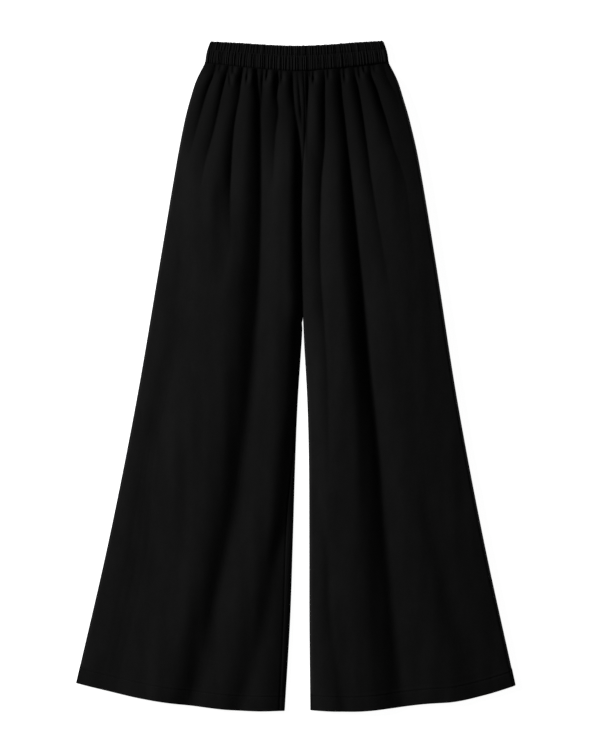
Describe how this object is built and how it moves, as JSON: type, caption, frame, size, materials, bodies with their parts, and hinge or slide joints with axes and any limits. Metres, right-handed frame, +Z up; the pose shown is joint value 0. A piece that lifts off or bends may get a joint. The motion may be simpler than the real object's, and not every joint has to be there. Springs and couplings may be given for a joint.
{
  "type": "palazzo trousers",
  "caption": "Long wide-leg trousers in soft black jersey with a gathered elastic waistband, laid flat with the front up.",
  "frame": {"origin": "middle of the garment's outline, on the surface that it lies on", "axes": "+X to the wearer's left, +Y from the hems to the waist, +Z up, out of the front"},
  "size_m": [0.6817, 1.0401, 0.0189],
  "materials": {
    "jersey": "soft matt black brushed jersey, fine knit, slight nap",
    "waistband_casing": "the same black jersey gathered over wide elastic, one sewn line"
  },
  "bodies": {
    "root": {"front_leg_right": "jersey", "front_leg_left": "jersey", "back_leg_right": "jersey", "back_leg_left": "jersey", "waistband_front": "waistband_casing", "waistband_back": "waistband_casing"}
  },
  "joints": []
}
